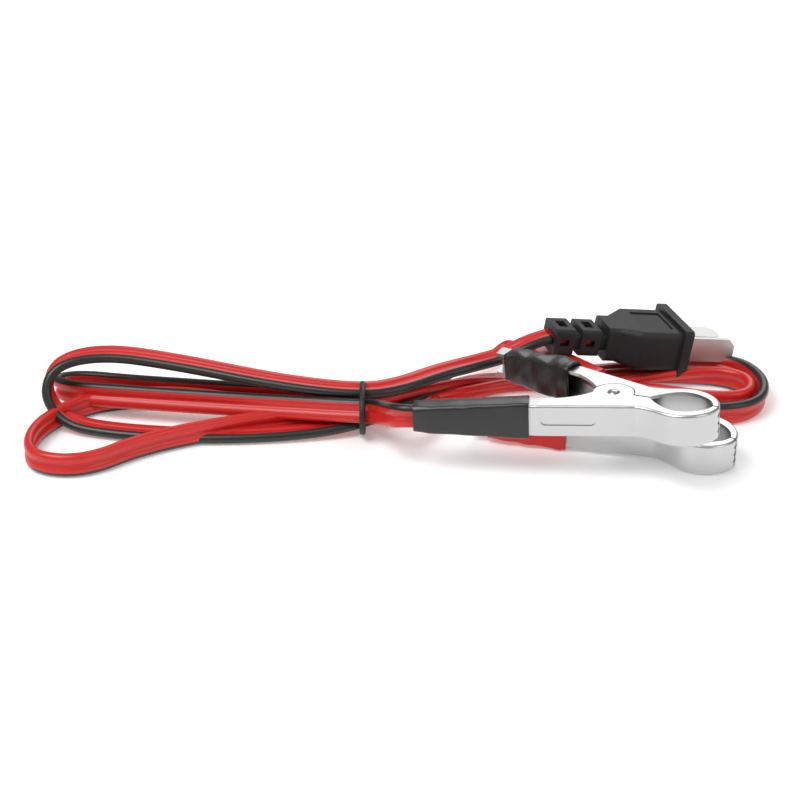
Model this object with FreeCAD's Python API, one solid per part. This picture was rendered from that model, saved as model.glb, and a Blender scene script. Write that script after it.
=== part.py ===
import FreeCAD, Part
import math
import os

os.makedirs("parts", exist_ok=True)
V = FreeCAD.Vector

# Battery charging lead: two spring clips, a flat twin cord tied in a hank, and a two-blade plug.
# Frame: origin on the table under the middle of the two clips, X along the lead towards the jaws,
# Y away from the front, Z up. Millimetres.

# ---- driving dimensions: clip -------------------------------------------------------------
SHEET = 1.0                 # steel thickness
CLIP_HEIGHT = 10.0          # height of the channel at the jaws and the pivot
TAIL_HEIGHT = 6.8           # height of the channel at the end of a handle
JAW_LENGTH = 31.8           # pivot to jaw tip
JAW_BULGE = 9.7             # half width of the closed jaws
NECK_HALF_WIDTH = 7.5       # half width where jaw and handle meet
NECK_REACH = 9.0            # pivot to that neck
HANDLE_ANGLE = 18.0         # degrees between a handle and the middle plane
WIRE_TAIL = 47.5            # reach of the wire half's handle behind the pivot
LEVER_TAIL = 44.5           # reach of the lever half's handle
TAPER_START = 18.0          # the handles narrow from here to their ends
FLANGE_DEPTH = 5.5          # how deep the folded sides of a handle are
RIM_DEPTH = 3.0             # width of the folded rim around the jaw
FOLD_RADIUS = 0.8           # outside, where the sheet is folded
NOTCH_START = 14.0          # pivot to where the folded sides turn in to the ears
HOLLOW_START = 11.0         # pivot to the near end of the hollow between the jaws
SEAM_GAP = 0.3              # each half stops this short of the middle plane
EAR_RADIUS = 6.0
EAR_GAP = 0.3               # round the ears, and between the two layers of ears
PIN_RADIUS = 1.25
PIN_RUNNING_FIT = 0.05
RIVET_HEAD_RADIUS = 1.9
RIVET_HEAD_HEIGHT = 0.8
RIB_LENGTH = 16.0           # embossed rib on the wire half
RIB_WIDTH = 2.8
RIB_DEPTH = 0.45
RIB_PLACE = -9.4
TEETH = 3
TOOTH_PITCH = 2.4
TOOTH_DEPTH = 0.9
TAIL_HOLE_RADIUS = 0.9

# ---- driving dimensions: spring, sleeves, crimp ---------------------------------------------
SPRING_WIRE = 1.0
SPRING_RADIUS = 3.3         # to the middle of the wire
SPRING_TURNS = 3
SPRING_PITCH = 1.08
SPRING_STEPS = 16           # points on each turn that the wire's line is drawn through
SPRING_JOINT_GAP = 0.03     # between the coil's end and the leg that turns with the lever
SPRING_LEG = 15.0           # reach of its legs behind the pivot
SPRING_FIT = 0.05           # between a leg and the back of the channel
SLEEVE_WALL = 0.7
SLEEVE_FIT = 0.06
WIRE_SLEEVE = (20.2, 52.4)  # mouth and end, as reach behind the pivot
LEVER_SLEEVE = (16.2, 39.0)
WIRE_SLEEVE_END = (6.4, 7.8)   # depth and height of the wire sleeve where it closes on its lead
CRIMP_WALL = 0.5
CRIMP_LENGTH = 7.0
CRIMP_FIT = 0.02

# ---- driving dimensions: cord ------------------------------------------------------------------
CORD_WIDTH = 7.2
CORD_THICKNESS = 3.1
LEAD_RADIUS = 1.5
LEAD_DEPTH = SHEET + CRIMP_FIT + CRIMP_WALL + LEAD_RADIUS   # from a handle's back to the lead's middle

# ---- driving dimensions: plug --------------------------------------------------------------------
BLADE_WIDTH = 7.9
BLADE_THICKNESS = 1.5
BLADE_LENGTH = 17.8
BLADE_ROW = 12.7            # middle to middle of the two blades
FLANGE = (3.0, 24.4, 16.2)  # thickness, width, height
FLANGE_CORNER = 1.3
BODY_LENGTH = 23.4
BODY_WIDE = (21.5, 13.2)    # width and height behind the flange
BODY_NARROW = (12.5, 11.4)  # width and height where the strain relief starts
BODY_NECK = 3.6             # length of the narrow end before it flares
BODY_FLARE = 9.4            # from the narrow end's start to the full width
RELIEF_LENGTH = 17.6
RELIEF_RING = (10.8, 8.8, 6.5)   # width, height and length of one block of the relief
RELIEF_CORE = (9.2, 5.2)
RELIEF_WINDOW = (3.0, 4.6)  # length and width of the opening in each block, down to the cord
LABEL = (1.8, 13.0, 0.5)    # margin, width and depth of the blank panel on top
BRIDGE = (4.8, 17.0, 9.6)   # hidden moulding that holds the blades
BRIDGE_COVER = 1.2          # flange material in front of it
BLADE_ROOT = 6.2            # how far the blades reach into the plug
PLUG_CRIMP = (1.9, 1.2, 6.0, 1.5)   # barrel radius, bore, length, and place inwards of a blade's row

# ---- layout: X along the lead towards the jaws, Y away from the front, Z up from the table --------
ORIGIN = V(52.055, 7.777, 0)            # middle of the two clips, which becomes the frame's origin
BLACK_CLIP = dict(pivot=V(62.8, -15.5, 19.6), yaw=24.0, pitch=3.2, roll=1.4, flipped=False)
RED_CLIP = dict(pivot=V(72.0, -1.0, 6.107), yaw=31.0, pitch=-1.6, roll=-2.4, flipped=True)
PLUG_END = V(47.2, 35.5, 18.8)       # where the cord enters the strain relief
PLUG_YAW = 16.7
PLUG_DROP = 9.8
TIE_X = -11.4
BUNDLE = V(0, 7.5, 7.7)              # middle of the tied bundle
WAIST = (8.2, 5.7)                   # half width and half height of the tied bundle
WAIST_REACH = (10.0, 9.0)            # how far the bundle stays together on each side of the tie
TIE_SECTION = 1.8
TIE_FIT = 0.2
LOOP_HEIGHT = 3.1                    # the loops on the right lie one cord thick on the table

HALF = CLIP_HEIGHT / 2


def export(shape, name):
    moved = shape.copy()
    moved.translate(-ORIGIN)
    moved.exportStep("parts/%s.step" % name)
    solids[name] = moved


solids = {}


# ---- shared helpers ---------------------------------------------------------------------------------
def prism(points, low, high):
    """Straight-sided solid from a closed outline of (u, v) points or ready edges."""
    wire = points if isinstance(points, Part.Wire) else Part.makePolygon([V(u, v, 0) for u, v in points + points[:1]])
    face = Part.Face(wire)
    face.translate(V(0, 0, low))
    return face.extrude(V(0, 0, high - low))


def spline_edge(points):
    curve = Part.BSplineCurve()
    curve.interpolate([V(u, v, 0) for u, v in points])
    return curve.toShape()


def line_edge(a, b):
    return Part.makeLine(V(a[0], a[1], 0), V(b[0], b[1], 0))


def rounded_section(width, height, radius, place, across, up):
    """Closed rectangle with round corners, in the plane of two given directions."""
    w, h, r = width / 2, height / 2, radius
    corners = [(w, h, 1, 1), (-w, h, -1, 1), (-w, -h, -1, -1), (w, -h, 1, -1)]
    edges = []
    ends = []
    for x, y, sx, sy in corners:
        first = (x, y - sy * r) if sx * sy > 0 else (x - sx * r, y)
        last = (x - sx * r, y) if sx * sy > 0 else (x, y - sy * r)
        middle = (x - sx * r * (1 - math.sqrt(0.5)), y - sy * r * (1 - math.sqrt(0.5)))
        a, m, b = [place + across * p[0] + up * p[1] for p in (first, middle, last)]
        ends.append((a, b))
        edges.append(Part.Arc(a, m, b).toShape())
    for i in range(4):
        edges.append(Part.makeLine(ends[i][1], ends[(i + 1) % 4][0]))
    return Part.Wire(Part.__sortEdges__(edges))


# ---- clip halves, in the clip's own frame: pivot along w, jaws towards +u ---------------------------
def web_line(u, side):
    """v of the outer face of a handle."""
    return side * (NECK_HALF_WIDTH + (NECK_REACH - u) * math.tan(math.radians(HANDLE_ANGLE)))


def jaw_points(side, inset):
    """Outer line of the jaw from neck to tip, moved inwards by inset."""
    bulge = JAW_BULGE - inset
    return [(NECK_REACH, side * (NECK_HALF_WIDTH - inset)),
            (NECK_REACH + 5.0, side * (NECK_HALF_WIDTH + 0.65 - inset)),
            (JAW_LENGTH - 12.2, side * bulge),
            (JAW_LENGTH - 5.8, side * (bulge - 1.1)),
            (JAW_LENGTH - 1.9 - inset * 0.6, side * (bulge - 4.4)),
            (JAW_LENGTH - inset, side * SEAM_GAP)]


def envelope(shrink):
    """Side view of the channel: level at the jaws, narrowing along the handles."""
    full = HALF - shrink
    tail = TAIL_HEIGHT / 2 - shrink
    far = -WIRE_TAIL - 4
    slope = (HALF - TAIL_HEIGHT / 2) / (WIRE_TAIL - TAPER_START)
    tail_far = tail - slope * 4
    outline = [(far, -tail_far), (-TAPER_START, -full), (JAW_LENGTH + 5, -full),
               (JAW_LENGTH + 5, full), (-TAPER_START, full), (far, tail_far)]
    wire = Part.makePolygon([V(u, -50, w) for u, w in outline + outline[:1]])
    return Part.Face(wire).extrude(V(0, 100, 0))


def half_region(side, tail):
    """Plan of one folded side: web line outside, notch, ear and rim line inside."""
    outer_tail = (-tail, web_line(-tail, side))
    neck = (NECK_REACH, side * NECK_HALF_WIDTH)
    fold = side * FLANGE_DEPTH / math.cos(math.radians(HANDLE_ANGLE))
    inner_tail = (-tail, web_line(-tail, side) - fold)
    notch = [(-NOTCH_START, web_line(-NOTCH_START, side) - fold),
             (-EAR_RADIUS - 3.0, side * 5.6),
             (-EAR_RADIUS + 0.2, side * 1.8)]
    rim = [(HOLLOW_START, side * SEAM_GAP),
           (HOLLOW_START + 4.0, side * (JAW_BULGE - RIM_DEPTH - 2.4)),
           (JAW_LENGTH - 12.0, side * (JAW_BULGE - RIM_DEPTH)),
           (JAW_LENGTH - 6.2, side * (JAW_BULGE - RIM_DEPTH - 1.2)),
           (JAW_LENGTH - 3.2, side * (JAW_BULGE - RIM_DEPTH - 3.6)),
           (JAW_LENGTH - 1.9, side * SEAM_GAP)]
    jaw = jaw_points(side, 0)
    edges = [line_edge(outer_tail, neck), spline_edge(jaw),
             line_edge(jaw[-1], rim[-1]), spline_edge(rim),
             line_edge(rim[0], (-EAR_RADIUS + 1.0, side * SEAM_GAP)),
             line_edge((-EAR_RADIUS + 1.0, side * SEAM_GAP), notch[-1]),
             spline_edge(notch), line_edge(notch[0], inner_tail), line_edge(inner_tail, outer_tail)]
    return Part.Wire(Part.__sortEdges__(edges))


def half_web(side, tail):
    """Plan of the back of the channel: a strip of the sheet's thickness along the outer line."""
    slant = SHEET / math.cos(math.radians(HANDLE_ANGLE))
    outer = jaw_points(side, 0)
    inner = jaw_points(side, SHEET)
    a = (-tail, web_line(-tail, side))
    b = (-tail, web_line(-tail, side) - side * slant)
    edges = [line_edge(a, outer[0]), spline_edge(outer), line_edge(outer[-1], inner[-1]),
             spline_edge(inner), line_edge(inner[0], b), line_edge(b, a)]
    return Part.Wire(Part.__sortEdges__(edges))


def cylinder_w(radius, low, high):
    return Part.makeCylinder(radius, high - low, V(0, 0, low))


def ear_pair(radius, top):
    """Round ears of both folded sides, one sheet thick."""
    return [cylinder_w(radius, low, low + SHEET) for low in (top - SHEET, -top)]


def folded_half(side, tail):
    region = prism(half_region(side, tail), -HALF, HALF)
    shell = envelope(0).cut(envelope(SHEET))
    sides = region.common(shell)
    web = prism(half_web(side, tail), -HALF, HALF).common(envelope(0))
    body = sides.fuse(web).removeSplitter()
    return body.makeFillet(FOLD_RADIUS, fold_edges(body, side))


def fold_edges(body, side):
    """Long edges where the back of the channel turns into its folded sides."""
    folds = []
    for edge in body.Edges:
        middle = edge.valueAt((edge.FirstParameter + edge.LastParameter) / 2)
        on_side = abs(middle.z) > half_height(-middle.x) - 0.05
        on_handle = abs(middle.y - web_line(middle.x, side)) < 0.05
        on_jaw = middle.x > NECK_REACH and abs(middle.y) > JAW_BULGE - SHEET
        if edge.Length > NECK_REACH and on_side and (on_handle or on_jaw):
            folds.append(edge)
    return folds


def jaw_teeth(side):
    """Notches across the gripping edge."""
    cuts = []
    for i in range(TEETH):
        w = (i - (TEETH - 1) / 2) * TOOTH_PITCH
        outline = [(w - TOOTH_PITCH * 0.32, 0.0), (w + TOOTH_PITCH * 0.32, 0.0), (w, side * (SEAM_GAP + TOOTH_DEPTH))]
        wire = Part.makePolygon([V(JAW_LENGTH - 3, v, z) for z, v in outline + outline[:1]])
        cuts.append(Part.Face(wire).extrude(V(6, 0, 0)))
    return cuts


def wire_half():
    """Half with its ears outside; its handle holds the wire."""
    side = -1
    body = folded_half(side, WIRE_TAIL)
    for ear in ear_pair(EAR_RADIUS, HALF):
        body = body.fuse(ear)
    slot_place = V(RIB_PLACE, web_line(RIB_PLACE, side), 0)
    along, out = handle_axis(side)
    flat = RIB_LENGTH - RIB_WIDTH
    for shift in (-flat / 2, flat / 2):
        body = body.cut(Part.makeCylinder(RIB_WIDTH / 2, RIB_DEPTH + 1, slot_place + along * shift - out * RIB_DEPTH, out))
    corner = slot_place - along * (flat / 2) - out * RIB_DEPTH - V(0, 0, RIB_WIDTH / 2)
    box = Part.makeBox(flat, RIB_DEPTH + 1, RIB_WIDTH)
    box.Placement = FreeCAD.Placement(corner, FreeCAD.Rotation(along, out, V(0, 0, 1), "ZXY"))
    body = body.cut(box)
    body = body.cut(cylinder_w(PIN_RADIUS, -HALF - 1, HALF + 1))
    for tooth in jaw_teeth(side):
        body = body.cut(tooth)
    return body.removeSplitter()


def lever_half():
    """Half with its ears set inwards by one sheet, so that they turn inside the other pair."""
    side = 1
    body = folded_half(side, LEVER_TAIL)
    clear = EAR_RADIUS + EAR_GAP
    for low, high in ((HALF - SHEET - EAR_GAP, HALF + 1), (-HALF - 1, -HALF + SHEET + EAR_GAP)):
        body = body.cut(cylinder_w(clear, low, high))
    inner_top = HALF - SHEET - EAR_GAP
    step = clear + SHEET
    region = prism(half_region(side, LEVER_TAIL), -HALF, HALF)
    for low, high in ((inner_top - SHEET, HALF), (-HALF, -inner_top + SHEET)):
        ring = cylinder_w(step, low, high).cut(cylinder_w(clear, low, high))
        body = body.fuse(ring.common(region))
    for low, high in ((inner_top - SHEET, inner_top), (-inner_top, -inner_top + SHEET)):
        body = body.fuse(cylinder_w(step, low, high).common(region))
        body = body.fuse(cylinder_w(EAR_RADIUS - 1.0, low, high))
    body = body.cut(cylinder_w(PIN_RADIUS + PIN_RUNNING_FIT, -HALF - 1, HALF + 1))
    for tooth in jaw_teeth(side):
        body = body.cut(tooth)
    hole_u = -LEVER_TAIL + 2.6
    hole = Part.makeCylinder(TAIL_HOLE_RADIUS, 4, V(hole_u, web_line(hole_u, side) - 2, 0), V(0, 1, 0))
    return body.cut(hole).removeSplitter()


def rivet():
    shank = cylinder_w(PIN_RADIUS, -HALF, HALF)
    dome_radius = (RIVET_HEAD_RADIUS ** 2 + RIVET_HEAD_HEIGHT ** 2) / (2 * RIVET_HEAD_HEIGHT)
    for way in (1, -1):
        ball = Part.makeSphere(dome_radius, V(0, 0, way * (HALF + RIVET_HEAD_HEIGHT - dome_radius)))
        keep = cylinder_w(RIVET_HEAD_RADIUS, HALF, HALF + 2) if way > 0 else cylinder_w(RIVET_HEAD_RADIUS, -HALF - 2, -HALF)
        shank = shank.fuse(ball.common(keep))
    return shank.removeSplitter()


def leg_tip(side):
    """End of a spring leg, lying against the back of the channel."""
    back = (SHEET + SPRING_WIRE / 2 + SPRING_FIT) / math.cos(math.radians(HANDLE_ANGLE))
    return V(-SPRING_LEG, web_line(-SPRING_LEG, side) - side * back, 0)


def leg_root_angle(side):
    """Angle about the pivot at which a leg leaves the coil along its tangent."""
    tip = leg_tip(side)
    return math.atan2(tip.y, tip.x) % (2 * math.pi) - side * math.acos(SPRING_RADIUS / tip.Length)


def spring_ends():
    """Start and end angle of the coil, and half its height."""
    start = leg_root_angle(-1) - 2 * math.pi
    end = leg_root_angle(1) + 2 * math.pi * (SPRING_TURNS - 1)
    return start, end, SPRING_PITCH * (end - start) / (4 * math.pi)


def leg_line(side):
    """Start of a leg at the coil's end, and its tip at the back of the channel."""
    start, end, reach = spring_ends()
    angle, height = (start, -reach) if side < 0 else (end, reach)
    root = V(SPRING_RADIUS * math.cos(angle), SPRING_RADIUS * math.sin(angle), height)
    return root, leg_tip(side) + V(0, 0, height)


def spring_leg(side):
    """Straight leg, from just off the coil's end to the back of the channel."""
    root, tip = leg_line(side)
    way = (tip - root).normalize()
    return Part.makeCylinder(SPRING_WIRE / 2, (tip - root).Length - SPRING_JOINT_GAP, root + way * SPRING_JOINT_GAP, way)


def spring_coil():
    """Coil with the leg that lies in the wire half; the other leg turns with the lever half."""
    start, end, reach = spring_ends()
    root, tip = leg_line(-1)
    step = 2 * math.pi / SPRING_STEPS
    count = round((end - start) / step)
    leg_count = round((tip - root).Length / (SPRING_RADIUS * step))
    line = [tip + (root - tip) * (i / leg_count) for i in range(leg_count)]
    turns = [start + (end - start) * i / count for i in range(count + 1)]
    curve = Part.BSplineCurve()
    curve.interpolate(line + [V(SPRING_RADIUS * math.cos(a), SPRING_RADIUS * math.sin(a),
                                reach * (2 * (a - start) / (end - start) - 1)) for a in turns])
    first = curve.FirstParameter
    circle = Part.makeCircle(SPRING_WIRE / 2, curve.value(first), curve.tangent(first)[0])
    sweep = Part.BRepOffsetAPI.MakePipeShell(Part.Wire(curve.toShape()))
    sweep.setBiNormalMode(V(0, 0, 1))
    sweep.add(Part.Wire(circle))
    sweep.build()
    sweep.makeSolid()
    return sweep.shape()


# ---- sleeves and crimp -----------------------------------------------------------------------------------
def handle_axis(side):
    """Directions along a handle towards its end, and out of its back."""
    along = V(-math.cos(math.radians(HANDLE_ANGLE)), side * math.sin(math.radians(HANDLE_ANGLE)), 0)
    out = V(math.sin(math.radians(HANDLE_ANGLE)), side * math.cos(math.radians(HANDLE_ANGLE)), 0)
    return along, out


def half_height(reach):
    slope = (HALF - TAIL_HEIGHT / 2) / (WIRE_TAIL - TAPER_START)
    return HALF - max(0.0, reach - TAPER_START) * slope


def sleeve_section(side, reach, grow):
    """Round-cornered section across a handle, grown by a wall."""
    along, out = handle_axis(side)
    depth = FLANGE_DEPTH + 2 * grow
    height = 2 * (half_height(reach) + grow)
    middle = V(-reach, web_line(-reach, side), 0) - out * (FLANGE_DEPTH / 2)
    return rounded_section(depth, height, grow, middle, out, V(0, 0, 1))


def sleeve(side, mouth, end, closing):
    inner_grow = SLEEVE_FIT
    outer_grow = SLEEVE_FIT + SLEEVE_WALL
    overrun = 0.4
    tail = WIRE_TAIL + overrun if closing else end + overrun
    level = [TAPER_START] if mouth < TAPER_START else []
    hollow = Part.makeLoft([sleeve_section(side, reach, inner_grow) for reach in [mouth - overrun] + level + [tail]],
                           True, True)
    outer = [sleeve_section(side, reach, outer_grow) for reach in [mouth] + level + [min(tail, end)]]
    if closing:
        width, height = closing
        middle, along = lead_mouth(side)
        across = along.cross(V(0, 0, 1))
        outer.append(rounded_section(width, height, 1.2, middle, across * side * -1, V(0, 0, 1)))
        hollow = hollow.fuse(Part.makeCylinder(LEAD_RADIUS, 30, middle + along * 5, along * -1))
    return Part.makeLoft(outer, True, True).cut(hollow)


def lead_mouth(side):
    """Where the lead leaves the wire sleeve, and its direction outwards."""
    along, out = handle_axis(side)
    reach = WIRE_SLEEVE[1]
    return V(-reach, web_line(-reach, side), 0) - out * LEAD_DEPTH, along


def wire_crimp(side):
    """Barrel closed on the lead's end, seated on the back of the channel."""
    along, out = handle_axis(side)
    mouth, outward = lead_mouth(side)
    end = mouth - outward * (WIRE_SLEEVE[1] - WIRE_TAIL + 4.0)
    barrel = Part.makeCylinder(LEAD_RADIUS + CRIMP_WALL, CRIMP_LENGTH, end - outward * CRIMP_LENGTH, outward)
    bore = Part.makeCylinder(LEAD_RADIUS - 0.35, CRIMP_LENGTH - 1.5, end - outward * (CRIMP_LENGTH - 1.5), outward)
    return barrel.cut(bore)


def buried_lead(side):
    """Stretch of lead inside the sleeve, from its mouth to the crimp."""
    mouth, outward = lead_mouth(side)
    return Part.makeCylinder(LEAD_RADIUS, WIRE_SLEEVE[1] - WIRE_TAIL + 4.0, mouth, outward * -1)


def clip_placement(layout):
    yaw = FreeCAD.Rotation(V(0, 0, 1), -layout["yaw"])
    pitch = FreeCAD.Rotation(V(0, 1, 0), -layout["pitch"])
    roll = FreeCAD.Rotation(V(1, 0, 0), -layout["roll"])
    flip = FreeCAD.Rotation(V(1, 0, 0), 180 if layout["flipped"] else 0)
    return FreeCAD.Placement(layout["pivot"], yaw.multiply(pitch).multiply(roll).multiply(flip))


def place(shape, placement):
    moved = shape.copy()
    moved.Placement = placement.multiply(moved.Placement)
    return moved


clip_pieces = {
    "wire_half": wire_half(),
    "lever_half": lever_half(),
    "pivot_rivet": rivet(),
    "spring_coil": spring_coil(),
    "spring_leg": spring_leg(1),
    "wire_sleeve": sleeve(-1, WIRE_SLEEVE[0], WIRE_SLEEVE[1], WIRE_SLEEVE_END),
    "lever_sleeve": sleeve(1, LEVER_SLEEVE[0], LEVER_SLEEVE[1], None),
    "wire_crimp": wire_crimp(-1),
}

# ---- cord paths ------------------------------------------------------------------------------------------
def rounded_path(points, name):
    """Straight runs joined by tangent arcs; each arc is as large as its two runs allow."""
    edges = []
    start = points[0]
    radii = []
    for i in range(1, len(points) - 1):
        before = points[i] - points[i - 1]
        after = points[i + 1] - points[i]
        turn = before.getAngle(after)
        short = min(before.Length, after.Length)
        setback = 0.45 * short
        radius = setback / math.tan(turn / 2)
        radii.append(round(radius, 1))
        a = points[i] - before.normalize() * setback
        b = points[i] + after.normalize() * setback
        inward = (a + b) * 0.5 - points[i]
        depth = radius / math.cos(turn / 2) - radius
        middle = points[i] + inward.normalize() * depth
        edges.append(Part.LineSegment(start, a).toShape())
        edges.append(Part.Arc(a, middle, b).toShape())
        start = b
    edges.append(Part.LineSegment(start, points[-1]).toShape())
    path = Part.Wire(edges)
    print(name, "length", round(path.Length, 1), "radii", radii)
    return path


def tube(points, radius, name):
    path = rounded_path(points, name)
    way = points[1] - points[0]
    profile = Part.Wire(Part.makeCircle(radius, points[0], way))
    solid = path.makePipeShell([profile], True, False)
    print(name, "volume over section times length", round(solid.Volume / (math.pi * radius ** 2 * path.Length), 4))
    return solid


def flat_tube(points, name, upright=False):
    """Flat cord: its width starts level, or upright, and turns with the path."""
    path = rounded_path(points, name)
    way = V(points[1] - points[0])
    way.normalize()
    across = V(0, 0, 1).cross(way)
    across.normalize()
    width, height = (CORD_THICKNESS, CORD_WIDTH) if upright else (CORD_WIDTH, CORD_THICKNESS)
    section = rounded_section(width, height, CORD_THICKNESS * 0.4, points[0], across, way.cross(across))
    solid = path.makePipeShell([section], True, False)
    area = Part.Face(section).Area
    print(name, "volume over section times length", round(solid.Volume / (area * path.Length), 4))
    return solid


# ---- plug, in its own frame: x towards the blades, from the cord's entry -----------------------------------
def plug_section(x, size, corner):
    return rounded_section(size[0], size[1], corner, V(x, 0, 0), V(0, 1, 0), V(0, 0, 1))


FLANGE_FACE = RELIEF_LENGTH + BODY_LENGTH + FLANGE[0]


def blade(upright):
    row = -BLADE_ROW / 2 if upright else BLADE_ROW / 2
    wide = V(0, 0, 1) if upright else V(0, 1, 0)
    thin = V(0, 1, 0) if upright else V(0, 0, 1)
    chamfer = 2.2
    root = -BLADE_ROOT
    half = BLADE_WIDTH / 2
    outline = [(root, -half), (BLADE_LENGTH - chamfer, -half), (BLADE_LENGTH, -half + chamfer),
               (BLADE_LENGTH, half - chamfer), (BLADE_LENGTH - chamfer, half), (root, half)]
    base = V(FLANGE_FACE, row, 0) - thin * (BLADE_THICKNESS / 2)
    wire = Part.makePolygon([base + V(a, 0, 0) + wide * b for a, b in outline + outline[:1]])
    return Part.Face(wire).extrude(thin * BLADE_THICKNESS)


def crimp_barrel(way, hollow):
    """Barrel that joins a conductor to a blade, inwards of the blade's row."""
    radius, bore, length, inset = PLUG_CRIMP
    end = V(FLANGE_FACE - BLADE_ROOT - length, way * (BLADE_ROW / 2 - inset), 0)
    barrel = Part.makeCylinder(radius, length, end, V(1, 0, 0))
    return barrel.cut(Part.makeCylinder(bore, length - 1.5, end, V(1, 0, 0))) if hollow else barrel


def plug_bridge():
    thick, wide, high = BRIDGE
    front = FLANGE_FACE - BRIDGE_COVER
    bridge = Part.makeLoft([plug_section(x, (wide, high), 1.0) for x in (front - thick, front)], True, True)
    for upright in (True, False):
        bridge = bridge.cut(blade(upright))
    return bridge


def buried_cord():
    """Stretch of the flat cord that runs on inside the strain relief."""
    size = (CORD_WIDTH - 0.4, CORD_THICKNESS - 0.2)
    return Part.makeLoft([plug_section(x, size, 1.0) for x in (0, RELIEF_LENGTH + BODY_NECK)], True, True)


def plug_shell():
    narrow = RELIEF_LENGTH
    flare = RELIEF_LENGTH + BODY_FLARE
    wide = RELIEF_LENGTH + BODY_LENGTH
    stages = [((narrow, BODY_NARROW, 1.6), (narrow + BODY_NECK, BODY_NARROW, 1.6)),
              ((narrow + BODY_NECK, BODY_NARROW, 1.6), (flare, BODY_WIDE, 2.0)),
              ((flare, BODY_WIDE, 2.0), (wide, BODY_WIDE, 2.0)),
              ((wide, FLANGE[1:], FLANGE_CORNER), (FLANGE_FACE, FLANGE[1:], FLANGE_CORNER)),
              ((1.0, RELIEF_CORE, 1.2), (narrow + 1, RELIEF_CORE, 1.2))]
    width, height, length = RELIEF_RING
    pitch = RELIEF_LENGTH / 2
    for start in (0, pitch):
        stages.append(((start, (width, height), 1.2), (start + length, (width, height), 1.2)))
    lofts = [Part.makeLoft([plug_section(*a), plug_section(*b)], True, True) for a, b in stages]
    shell = lofts[0].multiFuse(lofts[1:])
    window, opening = RELIEF_WINDOW
    for start in (0, pitch):
        middle = start + (length - window) / 2
        shell = shell.cut(Part.makeBox(window, opening, height, V(middle, -opening / 2, 0)))
        shell = shell.cut(Part.makeBox(window, width, height / 4, V(middle, -width * 0.9, -height / 8)))
    margin, label, depth = LABEL
    panel = BODY_LENGTH - BODY_FLARE - 2 * margin
    shell = shell.cut(Part.makeBox(panel, label, 1 + depth, V(flare + margin, -label / 2, BODY_WIDE[1] / 2 - depth)))
    cavity = [plug_bridge(), blade(True), blade(False), crimp_barrel(-1, False), crimp_barrel(1, False), buried_cord()]
    return shell.cut(cavity).removeSplitter()


plug_rotation = FreeCAD.Rotation(V(0, 0, 1), PLUG_YAW).multiply(FreeCAD.Rotation(V(0, 1, 0), PLUG_DROP))
plug_place = FreeCAD.Placement(PLUG_END, plug_rotation)

# ---- hank: loops on both sides of the tie, each one closed shape ---------------------------------------------
def bundle(x0, x1, grow):
    """Oval stretch of the bundle, between two planes across it."""
    oval = Part.Ellipse(V(0, 0, 0), WAIST[0] + grow, WAIST[1] + grow).toShape()
    turn = FreeCAD.Rotation(V(0, 1, 0), V(0, 0, 1), V(1, 0, 0), "ZXY")
    oval.Placement = FreeCAD.Placement(V(x0, 0, 0) + BUNDLE, turn)
    return Part.Face(Part.Wire(oval)).extrude(V(x1 - x0, 0, 0))


def closed_slab(points, low, high):
    curve = Part.BSplineCurve()
    curve.interpolate([V(x, y, 0) for x, y in points], PeriodicFlag=True)
    face = Part.Face(Part.Wire(curve.toShape()))
    face.translate(V(0, 0, low))
    return face.extrude(V(0, 0, high - low))


def left_loops():
    low_loop = closed_slab([(-17, 6), (-40, 0), (-69, -8), (-92, -20), (-108, -18), (-114, -6),
                            (-110, 12), (-96, 26), (-60, 24), (-34, 17), (-19, 14)], 0.0, 7.4)
    tall_loop = closed_slab([(-17, 10), (-40, 8), (-70, 6), (-96, 8), (-109, 14), (-111, 23),
                             (-98, 30), (-68, 27), (-36, 18), (-19, 15)], 4.0, 22.0)
    side = [(-17, 0), (-120, 0), (-120, 21), (-94, 21), (-17, 13.4)]
    under = Part.makePolygon([V(x, -40, z) for x, z in side + side[:1]])
    tall_loop = tall_loop.common(Part.Face(under).extrude(V(0, 100, 0)))
    body = low_loop.fuse(tall_loop)
    return body.fuse(bundle(TIE_X - WAIST_REACH[0], TIE_X, 0)).removeSplitter()


def right_loops():
    slab = closed_slab([(-5, 4), (7, 18), (21, 29), (36, 35), (50, 37), (61, 34), (72, 26.5), (86, 17),
                        (100, 11.5), (109, 12.5), (115, 18), (118.5, 30), (115, 42), (105, 47.5), (87, 48.5),
                        (68, 48), (52, 47.5), (37, 43.5), (21, 36), (5, 27), (-6, 14)], 0.0, LOOP_HEIGHT)
    step = closed_slab([(-6, 5), (-1, 9), (5, 15), (7, 20), (3, 22), (-2, 19), (-7, 12)], 0.0, 8.0)
    standing = closed_slab([(97, 13), (103, 11.2), (109, 12.5), (114, 17.5), (117.2, 30), (114.5, 41), (109, 44),
                            (105, 41.5), (109, 30), (104, 21)], LOOP_HEIGHT - 0.1, CORD_WIDTH)
    body = slab.fuse([step, standing])
    return body.fuse(bundle(TIE_X, TIE_X + WAIST_REACH[1], 0)).removeSplitter()


def ring_tie():
    """Elastic ring drawn over the bundle, in a plane across it."""
    outer = bundle(TIE_X - TIE_SECTION / 2, TIE_X + TIE_SECTION / 2, TIE_FIT + TIE_SECTION)
    return outer.cut(bundle(TIE_X - TIE_SECTION, TIE_X + TIE_SECTION, TIE_FIT))


def beyond_bundle(shape):
    """Keep what lies to the right of the bundle's end face."""
    face = TIE_X + WAIST_REACH[1]
    return shape.cut(Part.makeBox(40, 80, 60, V(face - 40, -40, -10)))


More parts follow.
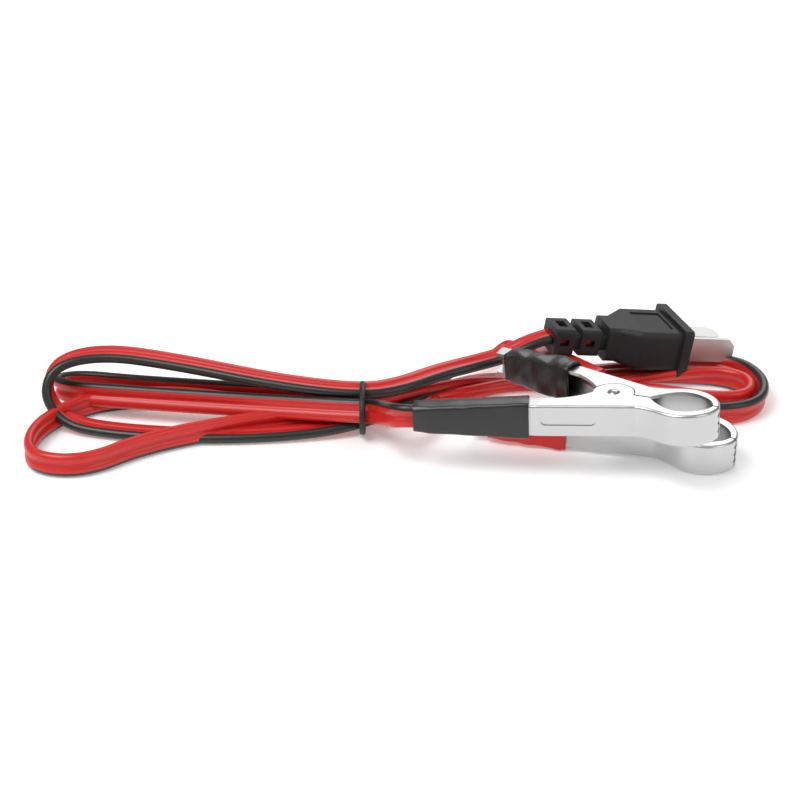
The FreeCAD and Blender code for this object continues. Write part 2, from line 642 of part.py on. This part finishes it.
# ---- build everything in the common frame -----------------------------------------------------------------------
placements = {}
for colour, layout in (("black", BLACK_CLIP), ("red", RED_CLIP)):
    placements[colour] = clip_placement(layout)
    for piece, shape in clip_pieces.items():
        export(place(shape, placements[colour]), "%s_%s" % (colour, piece))
    axis = placements[colour].Rotation.multVec(V(0, 0, 1))
    print(colour, "pivot", tuple(layout["pivot"] - ORIGIN), "axis", tuple(round(a, 6) for a in axis))

export(place(plug_shell(), plug_place), "plug_shell")
export(place(plug_bridge(), plug_place), "plug_inner_bridge")
export(place(buried_cord(), plug_place), "plug_inner_cord")
export(place(blade(True), plug_place), "plug_upright_blade")
export(place(blade(False), plug_place), "plug_flat_blade")
for label, way in (("near", -1), ("far", 1)):
    export(place(crimp_barrel(way, True), plug_place), "plug_%s_crimp" % label)

export(left_loops(), "hank_left_loops")
export(right_loops(), "hank_right_loops")
export(ring_tie(), "hank_tie")

# Plug side of the cord: out of the strain relief, behind the black clip's tail, down to the bundle.
plug_way = plug_place.Rotation.multVec(V(-1, 0, 0))
plug_route = [PLUG_END, PLUG_END + plug_way * 5, V(33.0, 31.5, 14.0), V(22.5, 29.0, 12.0),
              V(12.0, 23.5, 12.0), V(0.0, 14.5, 12.0), V(-11.4, 9.9, 12.0)]
export(beyond_bundle(flat_tube(plug_route, "plug_cord")), "plug_cord")

# Clip side: the twin cord leaves the bundle and splits; each lead runs into a wire sleeve.
mouths = {}
for colour, placement in placements.items():
    mouth, outward = lead_mouth(-1)
    mouths[colour] = (placement.multVec(mouth), placement.Rotation.multVec(outward))
    export(place(buried_lead(-1), placement), "%s_lead_end" % colour)
mouth, outward = mouths["black"]
clip_route = [V(-11.4, 3.0, 8.8), V(-5.5, -1.5, 10.0), V(-4.6, -14.0, 15.6), mouth + outward * 3, mouth]
export(beyond_bundle(flat_tube(clip_route, "clip_cord", True)), "clip_cord")
mouth, outward = mouths["red"]
red_route = [V(0.5, -9.5, 9.0), V(4.5, -9.5, 7.2), V(9.0, -3.0, 5.0), V(11.5, 8.0, 4.7), V(15.5, 22.0, 4.7),
             V(22.5, 36.0, 4.7), V(28.0, 48.0, 5.2), V(30.5, 56.5, 8.6), mouth + outward * 5, mouth]
export(tube(red_route, LEAD_RADIUS, "red_lead"), "red_lead")

clips = [s for n, s in solids.items() if n.startswith(("black", "red")) and n != "red_lead"]
box = Part.makeCompound(clips).BoundBox
print("clips box", [round(a, 3) for a in (box.XMin, box.XMax, box.YMin, box.YMax, box.ZMin, box.ZMax)])
for colour, (mouth, outward) in mouths.items():
    print(colour, "mouth", [round(a, 2) for a in mouth], [round(a, 3) for a in outward])
for name, shape in sorted(solids.items()):
    if not shape.isValid() or len(shape.Solids) != 1:
        print("CHECK", name, shape.isValid(), len(shape.Solids))
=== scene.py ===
import bpy
import bmesh
import math
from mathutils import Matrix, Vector, noise


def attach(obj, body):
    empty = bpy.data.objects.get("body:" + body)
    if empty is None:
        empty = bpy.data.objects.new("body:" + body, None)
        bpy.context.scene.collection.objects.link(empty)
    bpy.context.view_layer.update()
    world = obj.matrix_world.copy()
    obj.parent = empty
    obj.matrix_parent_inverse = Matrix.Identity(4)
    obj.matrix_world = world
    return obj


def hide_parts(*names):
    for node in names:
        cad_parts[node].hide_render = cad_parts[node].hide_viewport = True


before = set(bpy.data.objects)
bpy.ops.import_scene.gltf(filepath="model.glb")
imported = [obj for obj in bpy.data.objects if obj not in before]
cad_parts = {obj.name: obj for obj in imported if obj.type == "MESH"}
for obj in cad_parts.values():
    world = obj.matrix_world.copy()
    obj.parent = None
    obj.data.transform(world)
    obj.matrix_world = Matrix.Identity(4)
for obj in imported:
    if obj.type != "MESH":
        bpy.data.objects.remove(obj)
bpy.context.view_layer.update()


# The table and the light: a pale seamless sheet under soft lamps. The camera stands in front of
# the lead at a low angle, far enough off to keep lengths true.
ORIGIN = Vector((52.055, 7.777, 0))     # the frame's origin, in the layout's millimetres


def place(x, y, z):
    """A point of the layout, in its millimetres, as a point of the frame."""
    return (Vector((x, y, z)) - ORIGIN) / 1000


def aim(thing, spot, target):
    thing.location = spot
    thing.rotation_euler = (target - spot).to_track_quat("-Z", "Y").to_euler()


camera_data = bpy.data.cameras.new("camera")
camera_data.lens = 93.6
camera_data.sensor_width = 36
camera_data.clip_start = 0.01
camera = bpy.data.objects.new("camera", camera_data)
bpy.context.collection.objects.link(camera)
bpy.context.scene.camera = camera
bpy.context.scene.view_settings.view_transform = "Standard"
camera_height = math.radians(27)
camera_distance = 0.65
camera_target = place(0, 20, 4)
camera_offset = Vector((0, -math.cos(camera_height), math.sin(camera_height))) * camera_distance
aim(camera, camera_target + camera_offset, camera_target)

floor_sheet = bmesh.new()
bmesh.ops.create_grid(floor_sheet, x_segments=1, y_segments=1, size=3.0)
floor_mesh = bpy.data.meshes.new("floor")
floor_sheet.to_mesh(floor_mesh)
floor_sheet.free()
floor = bpy.data.objects.new("floor", floor_mesh)
bpy.context.collection.objects.link(floor)
floor.location.z = -0.0002
floor_paint = bpy.data.materials.new("floor_sheet")
floor_paint.use_nodes = True
floor_shader = floor_paint.node_tree.nodes["Principled BSDF"]
floor_shader.inputs["Base Color"].default_value = (0.93, 0.93, 0.93, 1)
floor_shader.inputs["Roughness"].default_value = 0.9
floor_shader.inputs["Emission Color"].default_value = (1, 1, 1, 1)
floor_shader.inputs["Emission Strength"].default_value = 0.22
floor_mesh.materials.append(floor_paint)

world = bpy.data.worlds.new("studio")
world.use_nodes = True
sky = world.node_tree.nodes["Background"]
sky.inputs["Strength"].default_value = 0.36
direction = world.node_tree.nodes.new("ShaderNodeTexCoord")
height = world.node_tree.nodes.new("ShaderNodeSeparateXYZ")
dome = world.node_tree.nodes.new("ShaderNodeValToRGB")
dome.color_ramp.elements[0].position = 0.0
dome.color_ramp.elements[0].color = (0.12, 0.12, 0.12, 1)
dome.color_ramp.elements[1].position = 0.45
dome.color_ramp.elements[1].color = (1, 1, 1, 1)
world.node_tree.links.new(direction.outputs["Generated"], height.inputs[0])
world.node_tree.links.new(height.outputs["Z"], dome.inputs["Fac"])
world.node_tree.links.new(dome.outputs["Color"], sky.inputs["Color"])
bpy.context.scene.world = world
for lamp_name, spot, size, power in (("key", (-0.5, -0.35, 0.9), 0.6, 7.5),
                                     ("fill", (0.7, -0.6, 0.6), 0.5, 2.0),
                                     ("back", (0.2, 0.9, 0.7), 0.7, 3.6)):
    lamp_data = bpy.data.lights.new(lamp_name, "AREA")
    lamp_data.size = size
    lamp_data.energy = power
    lamp = bpy.data.objects.new(lamp_name, lamp_data)
    bpy.context.collection.objects.link(lamp)
    aim(lamp, Vector(spot), Vector((0, 0, 0)))


# Shader sums: a value out of a node that can be added, multiplied and tested like a number.
# Finish makes a material and its nodes, and every finish of the lead is built with it.
class Value:
    def __init__(self, finish, socket):
        self.finish = finish
        self.socket = socket

    def combine(self, operation, first, second):
        return self.finish.node("ShaderNodeMath", {"operation": operation}, [first, second])

    def __add__(self, other):
        return self.combine("ADD", self, other)

    def __radd__(self, other):
        return self.combine("ADD", other, self)

    def __mul__(self, other):
        return self.combine("MULTIPLY", self, other)

    def __lt__(self, other):
        return self.combine("LESS_THAN", self, other)


class Finish:
    def __init__(self, name):
        self.material = bpy.data.materials.new(name)
        self.material.use_nodes = True
        self.tree = self.material.node_tree
        self.shader = self.tree.nodes["Principled BSDF"]

    def node(self, kind, settings, values, output=0):
        """A node of a kind, with its settings made first, then its inputs given values or links."""
        made = self.tree.nodes.new(kind)
        for name, setting in settings.items():
            setattr(made, name, setting)
        pairs = values.items() if isinstance(values, dict) else enumerate(values)
        for key, value in pairs:
            self.feed(made.inputs[key], value)
        return Value(self, made.outputs[output])

    def feed(self, socket, value):
        if isinstance(value, Value):
            self.tree.links.new(value.socket, socket)
        else:
            socket.default_value = value

    def spot(self, stretch=(1, 1, 1), turn=(0, 0, 0)):
        """Object coordinates in metres, stretched and turned."""
        coordinates = self.node("ShaderNodeTexCoord", {}, {}, "Object")
        return self.node("ShaderNodeMapping", {}, {"Vector": coordinates, "Scale": stretch, "Rotation": turn})

    def noise(self, spot, scale, detail=3.0, roughness=0.5):
        return self.node("ShaderNodeTexNoise", {}, {"Vector": spot, "Scale": scale, "Detail": detail,
                                                    "Roughness": roughness}, "Fac")

    def shades(self, amount, dark, light):
        """A colour between two, by an amount."""
        return self.node("ShaderNodeMix", {"data_type": "RGBA"},
                         {"Factor": amount, "A": dark, "B": light}, "Result")

    def bump(self, height, distance, strength=1.0):
        bump = self.node("ShaderNodeBump", {}, {"Strength": strength, "Distance": distance, "Height": height})
        self.feed(self.shader.inputs["Normal"], bump)

    def set(self, **values):
        for name, value in values.items():
            self.feed(self.shader.inputs[name.replace("_", " ")], value)
        return self.material


def show(name, mesh, material, slot, body, *nodes):
    """A finished piece: its mesh, its finish, the body it moves with and the nodes it stands for."""
    piece = bpy.data.objects.new(name, mesh)
    bpy.context.collection.objects.link(piece)
    mesh.materials.clear()
    mesh.materials.append(material)
    if nodes:
        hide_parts(*nodes)
    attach(piece, body)
    return piece


# The twin cord: flat two-core flex, red PVC with one black edge and a groove along its middle. It
# runs from the black clip's sleeve through six passes of the tie, with three loops on the left and
# two on the right, to the plug. Each point of its route has the direction that the black edge faces.
CORD_WIDTH = 0.0074
CORD_THICKNESS = 0.0031
BLACK_EDGE = 0.148          # share of the way round that is black, on each side of the edge
FRONT = (0, -1, 0)
BACK = (0, 1, 0)
UP = (0, 0, 1)
DOWN = (0, 0, -1)
twin_route = [
    ((6.0, -16.5, 17.1), UP),
    ((4.1, -16.3, 17.2), UP),
    ((1.1, -16.0, 17.1), UP),
    ((-2.4, -14.0, 16.2), (0, 0.2, 1)),
    ((-7.4, 1.2, 9.8), (0, 0.4, 0.92)),
    ((-11.4, 3.0, 8.8), (0, 0.5, 0.87)),
    ((-30.6, 6.8, 8.0), (0, 0.5, 0.87)),
    ((-61.5, 10.8, 8.0), (0, 0.45, 0.9)),
    ((-88.0, 15.5, 7.6), (0, 0.4, 0.9)),
    ((-102.0, 19.5, 6.8), (0, 0.3, 0.95)),
    ((-109.0, 25.5, 6.2), (-0.3, 0.3, 0.9)),
    ((-101.0, 30.0, 5.6), (0, 0.3, 0.95)),
    ((-86.0, 27.5, 5.2), (0, 0.3, 0.95)),
    ((-58.0, 23.0, 5.4), (0, 0.3, 0.95)),
    ((-32.0, 17.0, 6.6), (0, 0.6, 0.8)),
    ((-11.4, 12.0, 8.2), BACK),
    ((6.0, 20.0, 6.0), (0, 0.7, -0.7)),
    ((24.0, 34.5, 4.6), (0, 1, -0.3)),
    ((44.0, 37.0, 2.0), BACK),
    ((66.0, 38.0, 1.6), BACK),
    ((88.0, 38.5, 2.2), (0, 0.7, -0.7)),
    ((103.0, 38.0, 3.4), (0, 0.2, -1)),
    ((111.5, 31.0, 3.7), DOWN),
    ((109.0, 20.0, 3.7), DOWN),
    ((96.0, 19.0, 3.7), DOWN),
    ((82.0, 26.0, 3.4), (0, 0.5, -0.8)),
    ((66.0, 34.5, 2.4), (0, 1, -0.3)),
    ((50.0, 39.0, 3.6), BACK),
    ((30.0, 34.5, 3.4), BACK),
    ((9.0, 20.0, 3.6), (0, 0.8, -0.6)),
    ((-11.4, 12.6, 3.6), (0, 0.6, -0.8)),
    ((-30.0, 9.0, 3.7), (0, 0.2, -1)),
    ((-50.0, 3.5, 3.8), DOWN),
    ((-77.0, -8.0, 3.8), DOWN),
    ((-93.0, -23.0, 3.8), DOWN),
    ((-109.5, -20.0, 3.8), DOWN),
    ((-112.0, -4.0, 3.8), DOWN),
    ((-105.0, 11.0, 3.8), DOWN),
    ((-92.0, 21.0, 3.8), DOWN),
    ((-68.0, 23.0, 3.9), DOWN),
    ((-38.0, 14.0, 4.4), (0, 0.6, -0.8)),
    ((-11.4, 8.5, 5.4), BACK),
    ((11.0, 19.0, 4.0), BACK),
    ((30.0, 35.5, 1.8), BACK),
    ((52.0, 37.0, 1.6), BACK),
    ((70.0, 28.0, 2.2), (0, 0.7, 0.7)),
    ((84.5, 16.0, 3.6), UP),
    ((98.5, 9.5, 3.8), UP),
    ((112.0, 15.5, 3.8), (0.2, -0.1, 0.97)),
    ((115.5, 32.0, 3.8), (0.2, 0, 0.97)),
    ((107.5, 46.0, 3.6), (0.2, 0.5, 0.85)),
    ((92.0, 47.0, 2.2), (0, 0.9, 0.4)),
    ((68.0, 45.5, 1.6), BACK),
    ((48.0, 42.0, 1.6), BACK),
    ((30.0, 35.0, 2.4), (0, 1, 0.4)),
    ((10.0, 20.0, 3.8), (0, 0.2, 1)),
    ((-11.4, 6.5, 2.9), (0, -1, 0.3)),
    ((-30.6, 2.5, 1.7), FRONT),
    ((-60.9, 0.0, 1.7), FRONT),
    ((-90.0, 4.0, 1.7), FRONT),
    ((-103.0, 8.5, 2.6), FRONT),
    ((-109.5, 13.0, 10.0), FRONT),
    ((-106.5, 18.0, 18.0), FRONT),
    ((-92.0, 22.5, 19.6), (0, -1, -0.15)),
    ((-70.0, 20.5, 17.2), (0, -1, -0.15)),
    ((-36.0, 13.0, 13.4), (0, -1, -0.1)),
    ((-11.4, 9.9, 12.0), (0, -1, -0.1)),
    ((0.0, 14.0, 12.0), (0.4, -1, -0.1)),
    ((12.0, 23.5, 12.0), (0.4, -1, -0.1)),
    ((22.5, 29.0, 12.2), (0.3, -1, -0.1)),
    ((33.0, 31.5, 14.0), (0.3, -1, -0.1)),
    ((41.6, 33.8, 18.0), (0.3, -1, 0)),
    ((47.2, 35.5, 18.8), (0.3, -1, 0)),
]


def route_line(points):
    """Points along the smooth line that a cord takes through its route."""
    line = bpy.data.curves.new("route", "CURVE")
    line.dimensions = "3D"
    line.resolution_u = 12
    spline = line.splines.new("NURBS")
    spline.points.add(len(points) - 1)
    for knot, point in zip(spline.points, points):
        knot.co = (*point, 1)
    spline.order_u = 3
    spline.use_endpoint_u = True
    holder = bpy.data.objects.new("route", line)
    mesh = bpy.data.meshes.new_from_object(holder)
    walk = [vertex.co.copy() for vertex in mesh.vertices]
    bpy.data.meshes.remove(mesh)
    bpy.data.objects.remove(holder)
    bpy.data.curves.remove(line)
    return walk


def swept(walk, edges, section):
    """A tube along a walk; each ring of the section is turned so that +x points to its edge
    direction, and is lifted where it would sink into the table."""
    shape = bmesh.new()
    along_map = shape.loops.layers.uv.new("along")
    rings = []
    for i, here in enumerate(walk):
        ahead = (walk[min(i + 1, len(walk) - 1)] - walk[max(i - 1, 0)]).normalized()
        side = (edges[i] - ahead * edges[i].dot(ahead)).normalized()
        top = ahead.cross(side)
        ring = [here + side * x + top * y for x, y in section]
        sunk = min(0.0, min(spot.z for spot in ring))
        rings.append([shape.verts.new(spot - Vector((0, 0, sunk))) for spot in ring])
    run = 0.0
    count = len(section)
    for i in range(len(rings) - 1):
        step = (walk[i + 1] - walk[i]).length
        for k in range(count):
            j = (k + 1) % count
            face = shape.faces.new((rings[i][k], rings[i][j], rings[i + 1][j], rings[i + 1][k]))
            face.smooth = True
            spots = ((run, k), (run, k + 1), (run + step, k + 1), (run + step, k))
            for loop, (u, v) in zip(face.loops, spots):
                loop[along_map].uv = (u, v / count)
        run += step
    shape.faces.new(rings[0])
    shape.faces.new(list(reversed(rings[-1])))
    bmesh.ops.recalc_face_normals(shape, faces=shape.faces)
    mesh = bpy.data.meshes.new("cord")
    shape.to_mesh(mesh)
    shape.free()
    return mesh


def twin_section():
    """Two lobes with a groove between, from the black edge round and back."""
    points = []
    lobe = CORD_WIDTH / 4
    groove = CORD_THICKNESS * 0.22
    for k in range(40):
        angle = math.tau * k / 40
        x = CORD_WIDTH / 2 * math.cos(angle)
        reach = min(1.0, abs(abs(x) - lobe) / lobe)
        height = CORD_THICKNESS / 2 * math.sqrt(max(0.0, 1 - reach ** 2.4))
        y = math.copysign(max(height, groove if abs(x) < lobe else 0.0), math.sin(angle))
        points.append((x, y))
    return points


twin_spots = [place(*point) for point, edge in twin_route]
twin_walk = route_line(twin_spots)
edge_offset = 0.01
twin_edge_walk = route_line([spot + Vector(edge) * edge_offset
                             for spot, (point, edge) in zip(twin_spots, twin_route)])
twin_edges = [edge - spot for spot, edge in zip(twin_walk, twin_edge_walk)]

RED_PVC = ((0.52, 0.010, 0.008, 1), (0.68, 0.018, 0.013, 1))
BLACK_PVC = ((0.008, 0.010, 0.008, 1), (0.018, 0.021, 0.017, 1))
twin_finish = Finish("twin_cord_pvc")
twin_map = twin_finish.node("ShaderNodeUVMap", {"uv_map": "along"}, {})
around = twin_finish.node("ShaderNodeSeparateXYZ", {}, [twin_map], "Y")
from_edge = twin_finish.node("ShaderNodeMath", {"operation": "PINGPONG"}, [around, 0.5])
black_edge = from_edge < BLACK_EDGE
mottle = twin_finish.noise(twin_finish.spot(), 60, 3)
red_pvc = twin_finish.shades(mottle, *RED_PVC)
black_pvc = twin_finish.shades(mottle, *BLACK_PVC)
twin_finish.bump(twin_finish.noise(twin_finish.spot(), 900, 2), 0.00004, 0.6)
twin_finish.set(Base_Color=twin_finish.shades(black_edge, red_pvc, black_pvc),
                Roughness=0.30 + mottle * 0.14, Coat_Weight=0.12, Coat_Roughness=0.3)
twin_cord = show("twin_cord", swept(twin_walk, twin_edges, twin_section()), twin_finish.material, "red_cord",
                 "lead", "hank_left_loops", "hank_right_loops", "plug_cord", "clip_cord")


# The red single lead: round PVC flex, split from the twin cord where it turns up to the black
# clip. It passes behind the hank, low on the table, and turns back into the lower clip's sleeve.
LEAD_RADIUS = 0.0015


def round_section(radius):
    turns = [math.tau * k / 20 for k in range(20)]
    return [(radius * math.cos(turn), radius * math.sin(turn)) for turn in turns]


def plain_flex(name, dark, light):
    finish = Finish(name)
    patches = finish.noise(finish.spot(), 80, 3)
    finish.bump(finish.noise(finish.spot(), 900, 2), 0.00004, 0.6)
    return finish.set(Base_Color=finish.shades(patches, dark, light), Roughness=0.3 + patches * 0.15)


lead_flex = {"red": plain_flex("red_lead_pvc", *RED_PVC), "black": plain_flex("black_lead_pvc", *BLACK_PVC)}
red_route = [(-5.0, -5.5, 12.4), (0.0, -4.0, 11.5), (5.0, -2.0, 9.0), (9.0, 4.0, 6.0), (10.5, 14.0, 5.0),
             (11.5, 25.0, 4.8), (14.5, 35.5, 4.7), (20.0, 41.5, 4.7), (25.0, 46.0, 4.7), (30.0, 49.5, 5.2),
             (34.0, 52.6, 7.4), (36.2, 50.7, 8.8), (39.0, 47.5, 8.6)]
red_walk = route_line([place(*point) for point in red_route])
red_tube = swept(red_walk, [Vector(UP) for spot in red_walk], round_section(LEAD_RADIUS))
red_lead = show("red_single_lead", red_tube, lead_flex["red"], "red_cord", "lead", "red_lead")


# The clips: two pressed halves of bright zinc-plated sheet, riveted together so that the jaws
# close under a torsion spring. The plating is bright with faint rolling lines.
def plated(name, tone, roughness):
    finish = Finish(name)
    lines = finish.noise(finish.spot((60, 900, 900), (0, 0, math.radians(28))), 1.0, 4)
    clouds = finish.noise(finish.spot(), 70, 3)
    dull = tuple(0.86 * c for c in tone[:3]) + (1,)
    finish.bump(lines, 0.00002, 0.5)
    return finish.set(Base_Color=finish.shades(clouds, dull, tone), Metallic=1.0,
                      Roughness=roughness + clouds * 0.12 + lines * 0.06)


zinc = plated("zinc_plate", (0.66, 0.66, 0.66, 1), 0.24)
rivet_steel = plated("rivet_steel", (0.60, 0.60, 0.60, 1), 0.2)
spring_wire = plated("spring_wire", (0.55, 0.55, 0.56, 1), 0.25)
nickel = plated("nickel_plate", (0.78, 0.77, 0.74, 1), 0.44)
brass = plated("crimp_brass", (0.85, 0.70, 0.38, 1), 0.28)


def coat(node, material):
    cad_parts[node].data.materials.clear()
    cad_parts[node].data.materials.append(material)


for colour in ("black", "red"):
    coat(colour + "_wire_half", zinc)
    coat(colour + "_lever_half", zinc)
    coat(colour + "_pivot_rivet", rivet_steel)
    coat(colour + "_spring_coil", spring_wire)
    coat(colour + "_spring_leg", spring_wire)
    coat(colour + "_wire_crimp", brass)
    coat(colour + "_lead_end", lead_flex[colour])


# The sleeves: soft vinyl pushed over the handles. Their sides are pillowed outwards, and the lever
# sleeves are slack and wrinkled. The red ones keep their height, as they lie almost on the table.
def merged(node):
    """A closed mesh of a node, with its flat faces whole again."""
    shape = bmesh.new()
    shape.from_mesh(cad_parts[node].data)
    bmesh.ops.remove_doubles(shape, verts=shape.verts, dist=0.000003)
    bmesh.ops.dissolve_limit(shape, angle_limit=math.radians(1.0), verts=shape.verts, edges=shape.edges)
    return shape


def vinyl(name, dark, light):
    finish = Finish(name)
    patches = finish.noise(finish.spot(), 120, 4)
    finish.bump(patches + finish.noise(finish.spot(), 700, 2) * 0.25, 0.00025, 0.5)
    return finish.set(Base_Color=finish.shades(patches, dark, light), Roughness=0.30 + patches * 0.2,
                      Coat_Weight=0.25, Coat_Roughness=0.25)


black_vinyl = vinyl("black_vinyl", (0.006, 0.007, 0.006, 1), (0.015, 0.016, 0.014, 1))
red_vinyl = vinyl("red_vinyl", (0.60, 0.010, 0.010, 1), (0.75, 0.020, 0.016, 1))
PILLOW = 0.0005             # how far the middle of a side stands out
RING_REACH = 0.0015         # the stretch of sleeve that a vertex's section is measured over
WRINKLE_PLACE = Vector((7.3, 1.9, 4.1))
for colour, material in (("black", black_vinyl), ("red", red_vinyl)):
    for part, body, slack in (("wire_sleeve", "lead", 0.00018), ("lever_sleeve", colour + "_lever", 0.0011)):
        shape = merged("%s_%s" % (colour, part))
        corners = [v.co.copy() for v in shape.verts]
        along = max(shape.edges, key=lambda e: e.calc_length())
        along = (along.verts[1].co - along.verts[0].co).normalized()
        out = along.cross(Vector((0, 0, 1))).normalized()
        up = out.cross(along)
        up *= math.copysign(1, up.z)
        for normal, cuts in ((along, 16), (out, 5), (up, 6)):
            places = [c.dot(normal) for c in corners]
            first, last = min(places), max(places)
            for k in range(1, cuts):
                spot = first + (last - first) * k / cuts
                bmesh.ops.bisect_plane(shape, geom=shape.verts[:] + shape.edges[:] + shape.faces[:],
                                       plane_co=normal * spot, plane_no=normal)
        spots = [(v.co.dot(along), v.co.dot(out), v.co.dot(up)) for v in shape.verts]
        for vertex, (run, across, level) in zip(shape.verts, spots):
            ring = [spot for spot in spots if abs(spot[0] - run) < RING_REACH]
            left, right = min(spot[1] for spot in ring), max(spot[1] for spot in ring)
            low, high = min(spot[2] for spot in ring), max(spot[2] for spot in ring)
            a = (2 * across - left - right) / (right - left)
            b = (2 * level - low - high) / (high - low)
            wave = noise.noise(Vector((run * 260, across * 150, level * 150)) + WRINKLE_PLACE)
            vertex.co += out * math.copysign(PILLOW * (1 - b * b), a) * abs(a) ** 6
            rise = math.copysign(PILLOW * (1 - a * a), b) * abs(b) ** 6 + slack * wave
            vertex.co += out * (slack * wave)
            if colour == "black":
                vertex.co += up * max(0.0, rise)
        bmesh.ops.recalc_face_normals(shape, faces=shape.faces)
        for face in shape.faces:
            face.smooth = True
        mesh = bpy.data.meshes.new("%s_%s_skin" % (colour, part))
        shape.to_mesh(mesh)
        shape.free()
        skin = show("%s_%s_skin" % (colour, part), mesh, material, colour + "_vinyl", body,
                    "%s_%s" % (colour, part))
        rounding = skin.modifiers.new("rounding", "BEVEL")
        rounding.width = 0.0009
        rounding.segments = 3
        rounding.limit_method = "ANGLE"
        rounding.angle_limit = math.radians(50)
        rounding.harden_normals = True


# The plug: a moulded body with an oblong flange, two window blocks that let the relief bend, and a
# blank panel on top. The edges are softened all round, as the mould leaves them.
def softened(node, name, material, slot, radius):
    shape = merged(node)
    for face in shape.faces:
        face.smooth = True
    mesh = bpy.data.meshes.new(name)
    shape.to_mesh(mesh)
    shape.free()
    piece = show(name, mesh, material, slot, "lead", node)
    rounding = piece.modifiers.new("rounding", "BEVEL")
    rounding.width = radius
    rounding.segments = 3
    rounding.limit_method = "ANGLE"
    rounding.angle_limit = math.radians(35)
    rounding.harden_normals = True
    return piece


plug_finish = Finish("plug_moulding")
pebble = plug_finish.noise(plug_finish.spot(), 1500, 3)
plug_finish.bump(pebble, 0.00006, 0.7)
moulding_shade = plug_finish.shades(pebble, (0.008, 0.008, 0.009, 1), (0.016, 0.016, 0.017, 1))
plug_moulding = plug_finish.set(Base_Color=moulding_shade, Roughness=0.48 + pebble * 0.2)
softened("plug_shell", "plug_body", plug_moulding, "plug_rubber", 0.0005)
coat("plug_inner_cord", lead_flex["red"])
coat("plug_inner_bridge", plug_moulding)
coat("plug_upright_blade", nickel)
coat("plug_flat_blade", nickel)
coat("plug_near_crimp", brass)
coat("plug_far_crimp", brass)


# The tie: a thin black rubber ring, drawn tight over the bundle.
tie_finish = Finish("tie_rubber")
ring_noise = tie_finish.noise(tie_finish.spot(), 400, 3)
tie_finish.bump(ring_noise, 0.0001, 0.5)
rubber_shade = tie_finish.shades(ring_noise, (0.006, 0.007, 0.006, 1), (0.018, 0.020, 0.017, 1))
tie_rubber = tie_finish.set(Base_Color=rubber_shade, Roughness=0.42 + ring_noise * 0.2)
softened("hank_tie", "tie_ring", tie_rubber, "tie_rubber", 0.0006)
